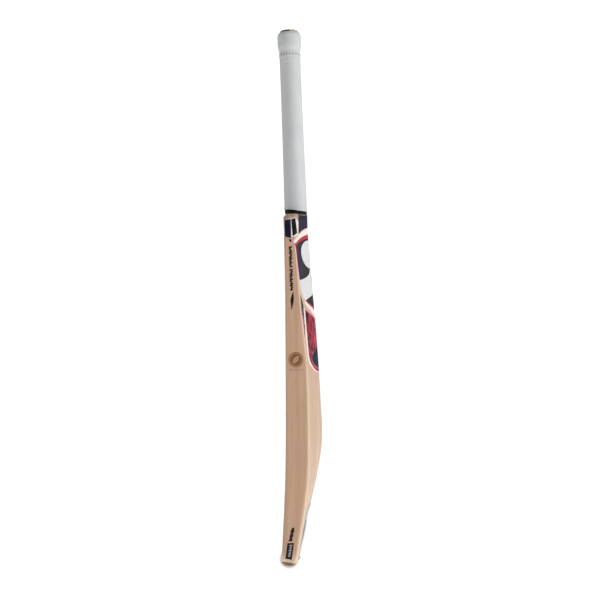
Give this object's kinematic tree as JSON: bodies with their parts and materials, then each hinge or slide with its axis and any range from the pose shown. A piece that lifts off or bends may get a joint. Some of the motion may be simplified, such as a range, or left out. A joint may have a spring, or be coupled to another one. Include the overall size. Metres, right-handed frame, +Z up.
{
  "type": "cricket bat",
  "caption": "Cricket bat: bowed blade with thick edges and a swelled spine, spliced laminated cane handle, and a white rubber grip.",
  "frame": {"origin": "middle of the bottom of the bounding box, under the toe", "axes": "+Z up the bat from the toe to the handle's end, +Y from the striking face towards the spine of the back, +X across the blade"},
  "size_m": [0.1094, 0.0729, 0.858],
  "materials": {
    "willow": "bare, fine sanded and lightly oiled",
    "cane": "bare sawn",
    "spring_rubber": "matt",
    "waxed_twine": "waxed thread",
    "black_whipping": "waxed thread",
    "grip_rubber": "matt, finely textured",
    "navy_label": "satin print",
    "shield_label": "satin print",
    "crimson_label": "satin print",
    "violet_label": "satin print",
    "silver_label": "satin print",
    "black_label": "satin print"
  },
  "bodies": {
    "root": {"blade": "willow", "cane_strip_01": "cane", "cane_strip_02": "cane", "cane_strip_03": "cane", "cane_strip_04": "cane", "cane_strip_05": "cane", "cane_strip_06": "cane", "cane_strip_07": "cane", "cane_strip_08": "cane", "cane_strip_09": "cane", "cane_strip_10": "cane", "cane_strip_11": "cane", "cane_strip_12": "cane", "rubber_spring_1": "spring_rubber", "rubber_spring_2": "spring_rubber", "rubber_spring_3": "spring_rubber", "twine_binding": "waxed_twine", "shoulder_whipping": "black_whipping", "grip": "grip_rubber", "back_shoulder_label": "navy_label", "back_shield_label": "shield_label", "back_lower_label": "crimson_label", "back_stripe_left": "violet_label", "back_stripe_right": "violet_label", "back_toe_label": "silver_label", "edge_shoulder_label_left": "black_label", "edge_shoulder_label_right": "black_label", "edge_strip_label_left": "navy_label", "edge_strip_label_right": "navy_label", "edge_toe_label_left": "black_label", "edge_toe_label_right": "black_label", "face_label": "crimson_label"}
  },
  "joints": []
}
